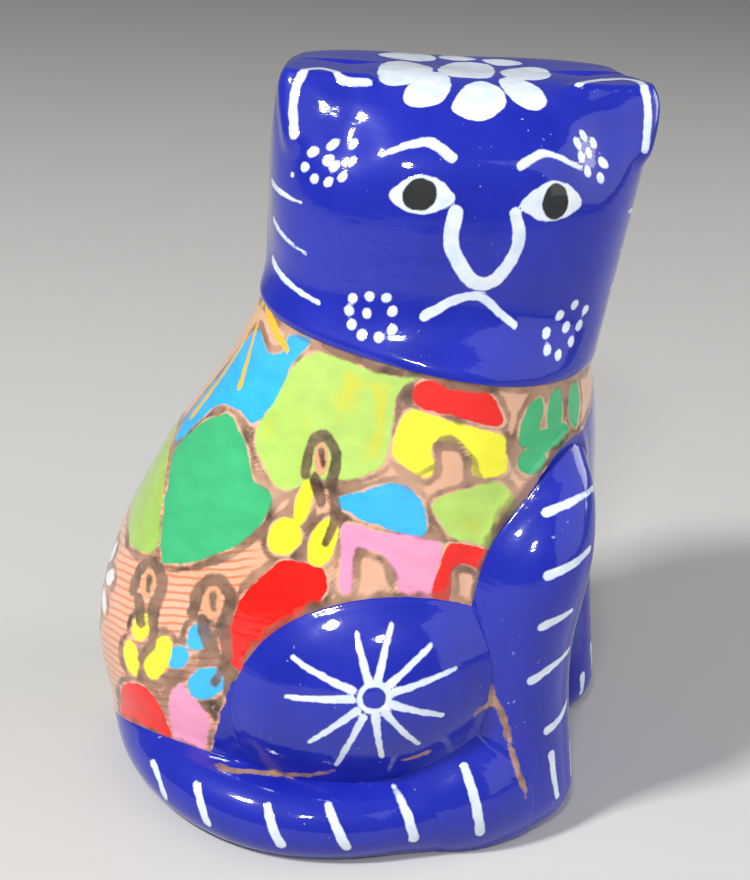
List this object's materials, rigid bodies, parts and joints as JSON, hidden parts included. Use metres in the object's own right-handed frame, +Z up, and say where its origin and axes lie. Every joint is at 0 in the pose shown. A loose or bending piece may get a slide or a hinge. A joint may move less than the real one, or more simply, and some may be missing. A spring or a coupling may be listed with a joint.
{
  "type": "painted clay cat figure",
  "caption": "Seated cat in hollow painted earthenware, head turned to its right, tail curled round its foot, flat closed underside.",
  "frame": {"origin": "middle of the figure's footprint box, on the surface it stands on", "axes": "+Z up, +X the way the chest faces, -Y the cat's right side, which the face turns towards"},
  "size_m": [0.1039, 0.1085, 0.14],
  "materials": {
    "cobalt_paint": "cobalt blue acrylic brushed on fired clay, white strokes, gloss varnish",
    "painted_scene": "village scene in flat acrylic patches with brown wash outlines, gloss varnish",
    "bare_clay": "unpainted terracotta, dry and slightly rough"
  },
  "bodies": {
    "root": {"base_slab": "bare_clay", "torso_right_half": "painted_scene", "torso_left_half": "painted_scene", "head_face_half": "cobalt_paint", "head_back_half": "cobalt_paint", "right_ear": "cobalt_paint", "left_ear": "cobalt_paint", "right_front_leg": "cobalt_paint", "left_front_leg": "cobalt_paint", "right_haunch": "cobalt_paint", "left_haunch": "cobalt_paint", "right_hind_paw": "cobalt_paint", "left_hind_paw": "cobalt_paint", "tail": "cobalt_paint"}
  },
  "joints": []
}
